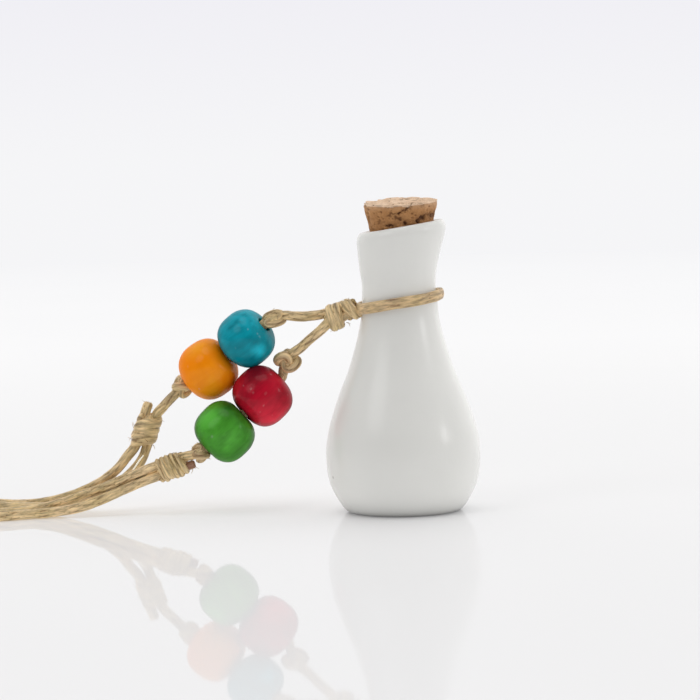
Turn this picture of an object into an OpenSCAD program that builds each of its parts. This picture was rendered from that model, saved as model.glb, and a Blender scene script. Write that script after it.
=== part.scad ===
/* [Bottle] */
// Height of the lip's middle above the table
bottle_h = 40.7; // [36:0.1:46]
// Widest diameter of the belly
body_d = 22; // [19:0.1:26]
// Narrowest diameter of the neck
neck_d = 10.7; // [10:0.1:11.4]
// Outer diameter just under the lip
lip_d = 12.5; // [12:0.1:14]
// Thickness of the fired wall
wall = 1.8; // [1.4:0.1:2]
// Thickness of the floor in the middle
floor_t = 2.4; // [1.6:0.1:4]
// Height of the rounded corner inside, above the floor
corner_h = 1.5; // [1:0.1:2]
// Height of the shallow dish in the floor
dish_h = 0.4; // [0.2:0.1:0.8]
// How far the lip rises towards the right, in degrees
lip_slant = 8.9; // [0:0.1:12]

/* [Cork] */
// Diameter of the cork's top
cork_top_d = 10.5; // [9.6:0.1:11]
// Diameter of the cork's foot
cork_foot_d = 6.8; // [5.6:0.1:7]
// Length of the cork
cork_l = 9; // [7:0.1:12]
// How far the cork's top stands above the lip's middle
cork_up = 3.4; // [2:0.1:5]
// Lean of the cut top towards the front, in degrees
cork_cut = 7.6; // [0:0.1:10]
// Gap between the cork and the mouth
cork_gap = 0.08; // [0.04:0.01:0.2]

/* [Cord] */
// Diameter of the waxed cord
cord_d = 1.45; // [1.2:0.05:1.5]
// Gap between the cord and what it passes through
cord_gap = 0.12; // [0.06:0.01:0.2]
// Thickness of the flattened cord round the neck
loop_t = 0.7; // [0.5:0.05:1.2]
// Height of the flattened cord round the neck
loop_h = 1.6; // [1.3:0.05:2]
// Height of the loop's middle on the neck
loop_z = 29.95; // [29.5:0.05:30.4]
// Rise of the loop towards the right, in degrees
loop_slant = 8.7; // [0:0.1:10]
// Gap between the loop and the neck
loop_gap = 0.15; // [0.08:0.01:0.3]

/* [Knots] */
// Diameter of the neck knot's thicker half
neck_knot_d = 4.15; // [3.9:0.05:4.6]
// Length of the neck knot
neck_knot_l = 5.5; // [5:0.1:5.8]
// How far the two halves of the neck knot run into each other
neck_knot_blend = 0.3; // [0.1:0.05:0.6]
// Diameter of the stopper knots
stopper_d = 2.9; // [2.6:0.05:3.2]
// Length of the stopper knots
stopper_l = 2.6; // [2:0.1:2.8]
// Diameter of the upper sliding knot
upper_knot_d = 4.3; // [4.1:0.05:4.6]
// Length of the upper sliding knot
upper_knot_l = 5.3; // [4.8:0.1:5.8]
// Diameter of the lower sliding knot
lower_knot_d = 4.15; // [4.1:0.05:4.4]
// Length of the lower sliding knot
lower_knot_l = 4.9; // [4.4:0.1:5.4]
// How far a cut cord end stands out of a sliding knot
stub_l = 1.5; // [0.8:0.1:2.5]
// Diameter of a cut cord end
stub_d = 1.3; // [1.1:0.05:1.35]

/* [Beads] */
// Diameter of the widest bead
bead_d = 8.6; // [7.8:0.1:8.7]
// Diameter of the hole through a bead
bead_hole_d = 2.1; // [1.9:0.05:2.6]

/* [Hidden] */
$fn = 96;

cord_r = cord_d / 2;
bore_r = cord_r + cord_gap;
cord_colour = "tan";

// Bottle outline. Columns: height as a share of bottle_h, swell from the neck to the belly,
// flare from the neck to the lip
BOTTLE_ROWS = [
    [0, 0.40, 0], [0.007, 0.53, 0], [0.03, 0.655, 0], [0.071, 0.825, 0], [0.113, 0.94, 0],
    [0.18, 1, 0], [0.236, 0.99, 0], [0.297, 0.912, 0], [0.361, 0.766, 0], [0.425, 0.596, 0],
    [0.489, 0.402, 0], [0.553, 0.257, 0], [0.617, 0.129, 0], [0.681, 0.035, 0], [0.744, 0.005, 0],
    [0.8, 0, 0], [0.867, 0, 0.37], [0.931, 0, 0.78], [0.97, 0, 0.94], [1.06, 0, 1.05]
];
CURVE_STEPS = 3;

// Beads. Columns: middle, direction of the hole, widest and longest as shares of bead_d
BLUE = [[-22.05, 3, 24.9], [-0.76, 0.25, -0.6], 0.955, 0.815];
ORANGE = [[-27.65, 4.95, 20.5], [-0.8, 0.24, -0.55], 0.99, 0.86];
RED = [[-19.95, 2.4, 16.65], [-0.735, -0.25, -0.63], 1, 0.84];
GREEN = [[-25.45, 1.3, 11.8], [-0.743, 0, -0.669], 0.99, 0.84];

// Stopper knots. Columns: bead that it stops, direction from that bead's middle, gap to the bead's
// end, direction of the cord through the knot, length as a share of stopper_l, thickness as a
// share of stopper_d
BLUE_STOP = [BLUE, [4.1, -1, 2.8], 0.13, [-0.9, 0.1, -0.42], 1.1, 0.9];
ORANGE_STOP = [ORANGE, [-3.85, 1.03, -2.65], 0.12, [-0.8, 0.1, -0.59], 0.75, 1.1];
RED_STOP = [RED, [3.7, 0.4, 4.95], 1.48, [-0.51, 0.31, -0.8], 0.85, 1.12];
GREEN_STOP = [GREEN, [-3.53, 0.07, -2.94], 0.2, [-0.88, 0.1, -0.45], 0.6, 1.05];

// Knots on the necklace. Columns: middle, direction, sideways direction from cord to cord
NECK_KNOT = [[-8.1, 0, 28.4], [-0.92, 0, -0.39]];
UPPER_SLIDE = [[-37, 6, 11.9], [-0.31, 0, -0.95], [0.95, 0, -0.31]];
LOWER_SLIDE = [[-33.2, 1.6, 6.9], [-0.96, 0, -0.28], [-0.28, 0, 0.96]];

// Routes of the strands, from the neck knot through two beads into a sliding knot
UPPER_ROUTE = [
    [-10.2, 0.75, 28.45], [-11.8, 1, 28.15], [-13.6, 1.25, 28], [-15.1, 1.5, 28.05], [-16.5, 1.8, 28.15],
    [-17.95, 2, 27.7], [-19.38, 2.2, 27], [-22.05, 3, 24.9], [-24.7, 3.97, 22.65], [-27.65, 4.95, 20.5],
    [-30.6, 5.85, 18.5], [-31.5, 5.98, 17.85], [-32.8, 6, 16.8], [-34.3, 6, 15.3], [-35.5, 6, 13.9],
    [-36.25, 6, 11.7]
];
LOWER_ROUTE = [
    [-10, -0.75, 27.35], [-11, -0.5, 26.4], [-12.6, 0.4, 25], [-14.2, 1.5, 23.6], [-15.4, 2.3, 22.7],
    [-16.25, 2.8, 21.6], [-16.8, 3.1, 20.5], [-16.95, 3.25, 19.7], [-17.4, 3.15, 18.9], [-19.95, 2.4, 16.65],
    [-22.72, 1.4, 14.3], [-25.45, 1.3, 11.8], [-28.12, 1.3, 9.4], [-28.85, 1.35, 8.85], [-29.8, 1.5, 8.6],
    [-31.07, 1.6, 8.33], [-33.4, 1.6, 7.65]
];

// Routes of the two necklace cords, from the upper to the lower sliding knot, with heights
// above where the cord rests on the table
ONE_ROUTE = [
    [-36.3, 6, 10.8], [-37.05, 6, 8.5], [-37.8, 5.9, 6.8], [-39, 5.6, 5.3], [-40.7, 5.2, 3.9],
    [-43, 5, 2.6], [-45.6, 5.2, 1.6], [-48.5, 5.8, 0.8], [-52, 7, 0.2], [-56, 8.6, 0], [-61, 11, 0],
    [-70, 14.5, 0], [-82, 18.5, 0], [-96, 23, 0], [-111.5, 26.5, 0], [-128.5, 28, 0],
    [-147, 27.5, 0], [-163.5, 24, 0], [-176.5, 17.5, 0], [-186, 8.5, 0], [-188.5, -1.5, 0],
    [-185, -11.5, 0], [-176.5, -20, 0], [-163.5, -25.5, 0], [-147, -28, 0], [-128.5, -27, 0],
    [-110.5, -23, 0], [-95, -17, 0], [-82, -10, 0], [-70, -4, 0], [-61, 0, 0],
    [-56, 2, 0.1], [-52, 3, 0.5], [-48.6, 3.2, 1.35], [-45.4, 2.6, 2.5], [-42.7, 2.1, 3.45],
    [-39.6, 1.8, 4.75], [-37.4, 1.65, 5.6], [-35.7, 1.6, 6.2], [-33.55, 1.6, 6.85]
];
TWO_ROUTE = [
    [-37.8, 6, 11.3], [-38.55, 6, 9], [-39.8, 6, 7.4], [-41.4, 6.2, 5.5], [-43.3, 6.6, 4],
    [-45.6, 7.1, 2.7], [-48.4, 7.9, 1.6], [-52, 9.4, 0.6], [-56, 11.3, 0.1], [-61, 14.2, 0],
    [-70, 18.5, 0], [-82, 22.5, 0], [-96, 27, 0], [-111.5, 29, 0], [-128.5, 30.5, 0],
    [-148, 30, 0], [-166.5, 26.5, 0], [-180.5, 19.5, 0], [-190, 10, 0], [-193, -1.5, 0],
    [-189.5, -13, 0], [-180.5, -23, 0], [-166.5, -29, 0], [-147, -31.5, 0], [-127.5, -30, 0],
    [-109, -25.5, 0], [-93.5, -19.5, 0], [-80.5, -13, 0], [-69.5, -7, 0], [-61, -2.9, 0],
    [-55.5, -0.4, 0], [-52, 0.6, 0.05], [-49, 1, 0.25], [-46, 1.2, 0.8], [-43, 1.3, 1.8], [-40, 1.4, 3],
    [-37.4, 1.5, 4], [-35.3, 1.6, 4.7], [-33.1, 1.6, 5.35]
];

// Curve through a list of points, each stretch cut into steps; the same for numbers and vectors
function curve_at(a, b, c, d, t) =
    0.5 * (2 * b + (c - a) * t + (2 * a - 5 * b + 4 * c - d) * t * t + (3 * b - a - 3 * c + d) * t * t * t);
function curve(p, steps) = [
    for (i = [0 : len(p) - 2], j = [0 : steps - 1])
        curve_at(p[max(i - 1, 0)], p[i], p[i + 1], p[min(i + 2, len(p) - 1)], j / steps),
    p[len(p) - 1]
];
function unit(v) = v / norm(v);

// Turns +Z onto a direction
module aim(v) {
    u = unit(v);
    rotate([0, acos(u.z), atan2(u.y, u.x)]) children();
}

// Bottle outline as points, and its radius at a height
outline = curve([
    for (row = BOTTLE_ROWS)
        [neck_d / 2 + row[1] * (body_d - neck_d) / 2 + row[2] * (lip_d - neck_d) / 2, row[0] * bottle_h]
], CURVE_STEPS);
function bottle_r(z) = lookup(z, [for (p = outline) [p.y, p.x]]);

// Cork, and the mouth that it sits in
cork_z = bottle_h + cork_up - cork_l;
cork_taper = (cork_top_d - cork_foot_d) / 2 / cork_l;
function cork_r(z) = cork_foot_d / 2 + (z - cork_z) * cork_taper;
throat_r = neck_d / 2 - wall;
lip_rise = lip_d / 2 * sin(lip_slant);
mouth_r = (cork_r(bottle_h + lip_rise) + cork_gap) / cos(lip_slant);
lip_r = (lip_d / 2 - mouth_r) / 2;
lip_z = bottle_h - lip_r;
spare = 4;

module hollow() {
    corner_z = floor_t + corner_h;
    corner_r = bottle_r(corner_z) - wall;
    throat_z = 0.8 * bottle_h;
    inner = concat(
        [[0.55 * corner_r, floor_t], [0.86 * corner_r, floor_t + dish_h], [corner_r, corner_z]],
        [for (row = BOTTLE_ROWS)
            let (z = row[0] * bottle_h)
            if (z > corner_z + dish_h && z <= throat_z) [max(bottle_r(z) - wall, throat_r), z]]
    );
    rotate_extrude()
        polygon(concat([[0, floor_t]], curve(inner, CURVE_STEPS), [[throat_r, bottle_h + spare], [0, bottle_h + spare]]));
    translate([0, 0, cork_z])
        cylinder(r1 = cork_foot_d / 2 + cork_gap, r2 = cork_r(cork_z + cork_l + spare) + cork_gap, h = cork_l + spare);
}

module bottle() {
    color("whitesmoke")
    difference() {
        union() {
            difference() {
                rotate_extrude() polygon(concat([[0, 0]], outline, [[0, outline[len(outline) - 1].y]]));
                translate([0, 0, lip_z]) rotate([0, -lip_slant, 0])
                    translate([-body_d, -body_d, 0]) cube([2 * body_d, 2 * body_d, spare + lip_rise * 2]);
            }
            translate([0, 0, lip_z]) rotate([0, -lip_slant, 0])
                rotate_extrude() translate([mouth_r + lip_r, 0]) circle(r = lip_r, $fn = 48);
        }
        hollow();
    }
}

module cork() {
    color("burlywood")
    difference() {
        translate([0, 0, cork_z])
            cylinder(r1 = cork_foot_d / 2, r2 = cork_r(cork_z + cork_l + spare), h = cork_l + spare);
        translate([0, 0, cork_z + cork_l]) rotate([cork_cut, 0, 0])
            translate([-body_d, -body_d, 0]) cube([2 * body_d, 2 * body_d, 2 * spare]);
    }
}

// Flattened cord round the neck; grown adds room for what it passes through
loop_reach = loop_h / 2 + neck_d / 2 * sin(loop_slant);
loop_in_r = max(bottle_r(loop_z - loop_reach), bottle_r(loop_z + loop_reach)) / cos(loop_slant) + loop_gap;
module ring(grown) {
    t = loop_t / 2 + grown;
    straight = loop_h / 2 - loop_t / 2;
    translate([0, 0, loop_z]) rotate([0, -loop_slant, 0])
        rotate_extrude() translate([loop_in_r + loop_t / 2, 0]) {
            translate([0, straight]) circle(r = t, $fn = 32);
            translate([0, -straight]) circle(r = t, $fn = 32);
            square([2 * t, 2 * straight], center = true);
        }
}
module neck_loop() {
    color(cord_colour) ring(0);
}

// Outline of a knot: a barrel with one groove between each two turns of cord
function knot_rows(length, across, turns, steps = 6) = [
    for (i = [0 : turns * steps])
        let (
            u = i / (turns * steps),
            barrel = sqrt(1 - 0.8 * pow(abs(2 * u - 1), 3)),
            groove = 1 - 0.14 * pow(1 - abs(sin(180 * turns * u)), 2)
        )
        [across / 2 * barrel * groove, (u - 0.5) * length]
];
module knot(length, across, turns) {
    rows = knot_rows(length, across, turns);
    rotate_extrude() polygon(concat([[0, -length / 2]], rows, [[0, length / 2]]));
}

module neck_knot() {
    thick_l = 0.54 * neck_knot_l;
    thin_l = neck_knot_l - thick_l;
    color(cord_colour)
    difference() {
        translate(NECK_KNOT[0]) aim(NECK_KNOT[1]) {
            translate([0, 0, (neck_knot_l - thick_l) / 2]) knot(thick_l + neck_knot_blend, neck_knot_d, 3);
            translate([0, 0, (thin_l - neck_knot_l) / 2]) knot(thin_l + neck_knot_blend, 0.84 * neck_knot_d, 2);
        }
        ring(cord_gap);
        cylinder(r = bottle_r(loop_z - loop_reach - cord_r) + loop_gap, h = bottle_h);
        strand_end(UPPER_ROUTE);
        strand_end(LOWER_ROUTE);
    }
}

// Room for the first stretch of a strand
module strand_end(route) {
    step = unit(route[1] - route[0]);
    translate(route[0] - cord_gap * step) aim(step) cylinder(r = bore_r + cord_gap / 2, h = spare);
}

// Round tube along a path, without twist because no stretch runs straight up
module sweep(path, r, sides = 8) {
    n = len(path);
    rings = [
        for (i = [0 : n - 1])
            let (
                along = unit(path[min(i + 1, n - 1)] - path[max(i - 1, 0)]),
                side = unit(cross(along, [0, 0, 1])),
                up = cross(side, along)
            )
            for (k = [0 : sides - 1]) path[i] + r * (cos(360 * k / sides) * side + sin(360 * k / sides) * up)
    ];
    walls = [
        for (i = [0 : n - 2], k = [0 : sides - 1])
            let (a = i * sides + k, b = i * sides + (k + 1) % sides)
            [a, a + sides, b + sides, b]
    ];
    polyhedron(rings, concat(
        [[for (k = [0 : sides - 1]) k]], walls, [[for (k = [sides - 1 : -1 : 0]) (n - 1) * sides + k]]
    ));
}

module upper_strand() {
    color(cord_colour) sweep(curve(UPPER_ROUTE, 2), cord_r);
}
module lower_strand() {
    color(cord_colour) sweep(curve(LOWER_ROUTE, 2), cord_r);
}
function rested(route) = [for (p = route) p + [0, 0, cord_r]];
module necklace_cord_one() {
    color(cord_colour) sweep(curve(rested(ONE_ROUTE), 2), cord_r);
}
module necklace_cord_two() {
    color(cord_colour) sweep(curve(rested(TWO_ROUTE), 2), cord_r);
}

// Stopper knot with the cord's way through it, set off from the end of its bead
module stopper(place) {
    bead_end = place[0][3] * bead_d / 2;
    length = place[4] * stopper_l;
    color(cord_colour)
    translate(place[0][0] + (bead_end + place[2] + length / 2) * unit(place[1])) aim(place[3]) difference() {
        knot(length, place[5] * stopper_d, 3);
        cylinder(r = bore_r + cord_gap, h = 2 * length, center = true);
    }
}
module blue_knot() { stopper(BLUE_STOP); }
module orange_knot() { stopper(ORANGE_STOP); }
module red_knot() { stopper(RED_STOP); }
module green_knot() { stopper(GREEN_STOP); }

// Sliding knot round two cords side by side: the strand runs through one side, and the other
// side ends in the cut end of the cord that ties the knot
module sliding_knot(place, length, across, turns, strand_side) {
    apart = cord_r + cord_gap / 2;
    strand = strand_side * apart * unit(place[2]);
    color(cord_colour)
    translate(place[0]) {
        difference() {
            aim(place[1]) knot(length, across, turns);
            translate(strand) aim(place[1]) cylinder(r = bore_r, h = 2 * length, center = true);
            translate(-strand) aim(place[1]) cylinder(r = bore_r, h = length);
        }
        translate(-strand) aim(-place[1]) cylinder(d = stub_d, h = length / 2 + stub_l);
    }
}
module upper_sliding_knot() { sliding_knot(UPPER_SLIDE, upper_knot_l, upper_knot_d, 4, 1); }
module lower_sliding_knot() { sliding_knot(LOWER_SLIDE, lower_knot_l, lower_knot_d, 5, 1); }

// Barrel shaped bead, flatter at the ends of its hole
module bead(place) {
    wide = place[2] * bead_d / 2;
    long = place[3] * bead_d / 2;
    fullness = 0.85;
    steps = 24;
    translate(place[0]) aim(place[1]) difference() {
        rotate_extrude() polygon([
            for (i = [0 : steps])
                let (a = 180 * i / steps - 90)
                [wide * pow(max(cos(a), 0), fullness), long * sign(a) * pow(abs(sin(a)), fullness)]
        ]);
        cylinder(d = bead_hole_d, h = 3 * long, center = true);
    }
}
module blue_bead() { color("teal") bead(BLUE); }
module orange_bead() { color("darkorange") bead(ORANGE); }
module red_bead() { color("crimson") bead(RED); }
module green_bead() { color("forestgreen") bead(GREEN); }

bottle();
cork();
neck_loop();
neck_knot();
upper_strand();
lower_strand();
blue_knot();
orange_knot();
red_knot();
green_knot();
blue_bead();
orange_bead();
red_bead();
green_bead();
upper_sliding_knot();
lower_sliding_knot();
necklace_cord_one();
necklace_cord_two();
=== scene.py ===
"""Dresses the bottle pendant: glazed bottle, cork, stained beads, plaited waxed cord and its knots."""

import math
import random
from collections import namedtuple

import bpy
import numpy as np
from mathutils import Matrix, Vector, noise


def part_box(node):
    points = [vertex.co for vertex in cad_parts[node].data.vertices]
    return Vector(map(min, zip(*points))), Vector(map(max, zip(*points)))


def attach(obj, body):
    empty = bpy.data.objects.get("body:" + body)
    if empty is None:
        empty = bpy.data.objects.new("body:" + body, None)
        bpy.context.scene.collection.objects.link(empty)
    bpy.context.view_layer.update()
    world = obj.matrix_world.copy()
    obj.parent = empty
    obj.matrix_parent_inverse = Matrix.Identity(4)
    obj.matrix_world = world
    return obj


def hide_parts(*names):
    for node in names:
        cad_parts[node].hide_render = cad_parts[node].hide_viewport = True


bl_info = {
    "name": "Bottle pendant",
    "version": (1, 0, 0),
    "blender": (4, 5, 0),
    "location": "3D View > Sidebar > Pendant",
    "description": "Models and finishes a corked bottle pendant on a beaded cord necklace",
    "category": "Object",
}

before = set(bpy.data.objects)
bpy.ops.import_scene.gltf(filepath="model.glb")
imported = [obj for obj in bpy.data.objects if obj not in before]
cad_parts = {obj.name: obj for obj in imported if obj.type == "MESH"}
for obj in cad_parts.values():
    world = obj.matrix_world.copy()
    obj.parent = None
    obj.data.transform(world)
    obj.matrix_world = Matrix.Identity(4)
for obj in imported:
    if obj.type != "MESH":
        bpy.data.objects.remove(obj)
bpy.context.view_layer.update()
bottle_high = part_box("bottle")[1]
cork_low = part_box("cork")[0]

MM = 0.001
BODY = "pendant"
# Seed of the noise vectors in the cork's cracks, which without one differ from run to run
NOISE_SEED = 4
# How far the lip's high side stands over its middle, and the height of the cork's cut top
LIP_RISE = 0.94 * MM
CORK_TOP = 44.2 * MM
# The dark pit in the glaze: its place, and how far from it the stain starts to fade and ends
PIT = (-9.9 * MM, -3.9 * MM, 5.45 * MM)
PIT_EDGE = (0.12 * MM, 0.34 * MM)
# Noise scale of fine grains, for materials that don't state their own
GRAIN_SCALE = 4000.0

# Bottle outline, in mm: height and radius
OUTLINE = [
    (0, 7.6), (0.28, 8.34), (1.22, 9.05), (2.89, 10.01), (4.6, 10.66), (7.33, 11), (9.6, 10.94),
    (12.09, 10.5), (14.69, 9.68), (17.3, 8.72), (19.9, 7.62), (22.5, 6.8), (25.1, 6.08), (27.7, 5.55),
    (30.28, 5.38), (32.56, 5.35), (35.29, 5.68), (37.9, 6.05), (39.48, 6.2), (43.1, 6.3),
]
# Routes of the cords, in mm, with the heights of the last two above where they rest
UPPER_ROUTE = [
    (-10.2, 0.75, 28.45), (-11.8, 1, 28.15), (-13.6, 1.25, 28), (-15.1, 1.5, 28.05), (-16.5, 1.8, 28.15),
    (-17.95, 2, 27.7), (-19.38, 2.2, 27), (-22.05, 3, 24.9), (-24.7, 3.97, 22.65), (-27.65, 4.95, 20.5),
    (-30.6, 5.85, 18.5), (-31.5, 5.98, 17.85), (-32.8, 6, 16.8), (-34.3, 6, 15.3), (-35.5, 6, 13.9),
    (-36.25, 6, 11.7),
]
LOWER_ROUTE = [
    (-10, -0.75, 27.35), (-11, -0.5, 26.4), (-12.6, 0.4, 25), (-14.2, 1.5, 23.6), (-15.4, 2.3, 22.7),
    (-16.25, 2.8, 21.6), (-16.8, 3.1, 20.5), (-16.95, 3.25, 19.7), (-17.4, 3.15, 18.9), (-19.95, 2.4, 16.65),
    (-22.7, 1.85, 14.2), (-25.45, 1.3, 11.8), (-28.12, 1.3, 9.4), (-28.85, 1.35, 8.85), (-29.8, 1.5, 8.6),
    (-31.07, 1.6, 8.33), (-33.4, 1.6, 7.65),
]
ONE_ROUTE = [
    (-36.3, 6, 10.8), (-37.05, 6, 8.5), (-37.8, 5.9, 6.8), (-39, 5.6, 5.3), (-40.7, 5.2, 3.9),
    (-43, 5, 2.6), (-45.6, 5.2, 1.6), (-48.5, 5.8, 0.8), (-52, 7, 0.2), (-56, 8.6, 0), (-61, 11, 0),
    (-70, 14.5, 0), (-82, 18.5, 0), (-96, 23, 0), (-111.5, 26.5, 0), (-128.5, 28, 0),
    (-147, 27.5, 0), (-163.5, 24, 0), (-176.5, 17.5, 0), (-186, 8.5, 0), (-188.5, -1.5, 0),
    (-185, -11.5, 0), (-176.5, -20, 0), (-163.5, -25.5, 0), (-147, -28, 0), (-128.5, -27, 0),
    (-110.5, -23, 0), (-95, -17, 0), (-82, -10, 0), (-70, -4, 0), (-61, 0, 0),
    (-56, 2, 0.1), (-52, 3, 0.5), (-48.6, 3.2, 1.35), (-45.4, 2.6, 2.5), (-42.7, 2.1, 3.45),
    (-39.6, 1.8, 4.75), (-37.4, 1.65, 5.6), (-35.7, 1.6, 6.2), (-33.55, 1.6, 6.85),
]
TWO_ROUTE = [
    (-37.8, 6, 11.3), (-38.55, 6, 9), (-39.8, 6, 7.4), (-41.4, 6.2, 5.5), (-43.3, 6.6, 4),
    (-45.6, 7.1, 2.7), (-48.4, 7.9, 1.6), (-52, 9.4, 0.6), (-56, 11.3, 0.1), (-61, 14.2, 0),
    (-70, 18.5, 0), (-82, 22.5, 0), (-96, 27, 0), (-111.5, 29, 0), (-128.5, 30.5, 0),
    (-148, 30, 0), (-166.5, 26.5, 0), (-180.5, 19.5, 0), (-190, 10, 0), (-193, -1.5, 0),
    (-189.5, -13, 0), (-180.5, -23, 0), (-166.5, -29, 0), (-147, -31.5, 0), (-127.5, -30, 0),
    (-109, -25.5, 0), (-93.5, -19.5, 0), (-80.5, -13, 0), (-69.5, -7, 0), (-61, -2.9, 0),
    (-55.5, -0.4, 0), (-52, 0.6, 0.05), (-49, 1, 0.25), (-46, 1.2, 0.8), (-43, 1.3, 1.85), (-40, 1.4, 3.1),
    (-37.4, 1.5, 4.14), (-35.3, 1.6, 4.85), (-33.1, 1.6, 5.5),
]


def colour(name, text, value):
    """A colour that the user can change."""
    return bpy.props.FloatVectorProperty(
        name=name, description=text, default=value, size=4, min=0, max=1, subtype="COLOR"
    )


def length(name, text, value):
    """A length in metres that the user can change."""
    return bpy.props.FloatProperty(
        name=name, description=text, default=value, unit="LENGTH", precision=5
    )


def share(name, text, value):
    """A number from 0 to 1 that the user can change."""
    return bpy.props.FloatProperty(name=name, description=text, default=value, min=0, max=1)


def amount(name, text, value):
    """A number from 0 up that the user can change."""
    return bpy.props.FloatProperty(name=name, description=text, default=value, min=0)


def angle(name, text, degrees):
    """An angle that the user can change."""
    return bpy.props.FloatProperty(
        name=name, description=text, default=math.radians(degrees), subtype="ANGLE"
    )


class BottleSettings(bpy.types.PropertyGroup):
    """Sizes and finish of the bottle."""

    height: length("Height", "Height of the lip's middle", bottle_high.z - LIP_RISE)
    wall: length("Wall", "Thickness of the fired wall", 1.8 * MM)
    floor: length("Floor", "Thickness of the floor", 2.4 * MM)
    lip_slant: angle("Lip slant", "Rise of the lip to the right", 8.9)
    glaze: colour("Glaze", "Colour of the glaze", (0.82, 0.815, 0.785, 1))
    pit: colour("Pit", "Colour of the pit in the glaze", (0.22, 0.2, 0.16, 1))
    roughness: share("Roughness", "Roughness of the glaze", 0.22)


class CorkSettings(bpy.types.PropertyGroup):
    """Sizes and colours of the cork."""

    top_radius: length("Top radius", "Radius at the cut top", 5.35 * MM)
    foot_radius: length("Foot radius", "Radius at the foot", 3.4 * MM)
    cut: angle("Cut", "Lean of the cut top to the front", 4.5)
    side_cut: angle("Side cut", "Rise of the cut top to the right", 2.1)
    # This colour is also blended into the upper edge of the side as a painted highlight
    light: colour("Light", "Colour of the cut top", (1.0, 0.74, 0.53, 1))
    side: colour("Side", "Colour of the darker side", (0.55, 0.275, 0.105, 1))
    blotch: colour("Blotch", "Tint of the darker blotches", (0.8, 0.74, 0.68, 1))
    dark: colour("Dark", "Colour of the pores and cracks", (0.1, 0.034, 0.009, 1))


class BeadSettings(bpy.types.PropertyGroup):
    """Sizes and stains of the beads."""

    width: length("Width", "Diameter of the widest bead", 8.6 * MM)
    hole: length("Hole", "Diameter of the hole", 2.1 * MM)
    blue: colour("Blue", "Stain of the first bead", (0.0, 0.29, 0.37, 1))
    orange: colour("Orange", "Stain of the second bead", (1.0, 0.265, 0.0, 1))
    red: colour("Red", "Stain of the third bead", (0.54, 0.007, 0.028, 1))
    green: colour("Green", "Stain of the fourth bead", (0.06, 0.3, 0.024, 1))
    roughness: share("Roughness", "Roughness of the lacquer", 0.38)


class CordSettings(bpy.types.PropertyGroup):
    """Sizes and colours of the waxed cord."""

    diameter: length("Diameter", "Diameter of the cord", 1.45 * MM)
    pitch: length("Pitch", "Length of one stitch of the plait", 4.3 * MM)
    relief: share("Relief", "Depth of the plait as a share of the radius", 0.12)
    light: colour("Light", "Colour of the raised plies", (0.83, 0.61, 0.345, 1))
    # Painted shade: the grooves between the plies are darkened with this colour
    dark: colour("Dark", "Colour between the plies", (0.22, 0.112, 0.028, 1))
    olive: colour("Olive", "Tint of the greener stretches", (0.58, 0.44, 0.19, 1))
    burnt: colour("Burnt", "Colour of the sealed cut end", (0.3, 0.135, 0.085, 1))
    fibre: colour("Fibre", "Colour of the loose fibre", (1.0, 0.96, 0.82, 1))


class StageSettings(bpy.types.PropertyGroup):
    """Camera, table and light."""

    eye: bpy.props.FloatVectorProperty(
        name="Eye", description="Place of the camera", default=(-0.00724, -0.39742, 0.05092),
        subtype="TRANSLATION",
    )
    tilt: angle("Tilt", "How far the camera looks down", 4)
    roll: angle("Roll", "Turn of the camera", 1.4)
    lens: amount("Lens", "Focal length in mm", 144)
    table: colour("Table", "Colour of the table", (0.745, 0.74, 0.745, 1))
    glow: share("Glow", "Light that the table sends up by itself", 0.11)
    bounce: share("Bounce", "Light that the table throws on what stands on it", 0.93)
    backdrop: colour("Backdrop", "Colour behind the table", (0.915, 0.915, 0.93, 1))
    zenith: colour("Zenith", "Colour at the top of the picture", (0.875, 0.868, 0.91, 1))
    tint: colour("Light", "Colour of the light", (1, 1, 1, 1))
    front: amount("Front", "Light from the camera's side", 0.21)
    back: amount("Back", "Light from behind the object", 1.08)
    top: amount("Top", "Extra light from overhead", 0.02)
    right: amount("Right", "Extra light from the right", 0.46)
    room: share("Room", "How bright shiny surfaces see the room towards the camera", 0.3)


# Shared shader groups and materials


def feed(tree, made, **values):
    """Fills a node's inputs, by name or number: an output or a node is linked, a value is set."""
    for key, value in values.items():
        socket = made.inputs[int(key) if key.isdigit() else key.replace("_", " ")]
        if isinstance(value, bpy.types.Node):
            value = next(out for out in value.outputs if out.enabled)
        if isinstance(value, bpy.types.NodeSocket):
            tree.links.new(value, socket)
        else:
            socket.default_value = value


def node(tree, kind, **values):
    """Adds a node with its settings. The values that start with in_ go to its inputs."""
    made = tree.nodes.new("ShaderNode" + kind)
    for key, value in values.items():
        if key.startswith("in_"):
            feed(tree, made, **{key[3:]: value})
        else:
            setattr(made, key, value)
    return made


def ramp(tree, source, low, high, start=0.0, end=1.0):
    """Maps a value from low..high to start..end."""
    return node(
        tree, "MapRange", in_Value=source, in_From_Min=low, in_From_Max=high, in_To_Min=start, in_To_Max=end
    )


def mix(tree, factor, one, two, blend="MIX"):
    """Mixes two colours."""
    return node(tree, "Mix", data_type="RGBA", blend_type=blend, in_Factor=factor, in_A=one, in_B=two)


def reckon(tree, operation, *terms):
    """Works a value out of others."""
    return node(tree, "Math", operation=operation, **{f"in_{i}": term for i, term in enumerate(terms)})


def clouds(tree, here, scale, detail, roughness, **values):
    """Noise that is read at a place."""
    return node(
        tree, "TexNoise", in_Vector=here, in_Scale=scale, in_Detail=detail, in_Roughness=roughness, **values
    )


def bump(tree, height, strength, distance):
    """Bends the normal by a height."""
    return node(tree, "Bump", in_Strength=strength, in_Distance=distance, in_Height=height)


def kept(tree, name):
    """A value kept on the mesh."""
    return node(tree, "Attribute", attribute_name=name).outputs["Fac"]


def scaled(tone, factor, lift=0.0):
    """A colour times a factor and lifted towards white."""
    return [min(1, factor * part + lift) for part in tone[:3]] + [1]


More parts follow.
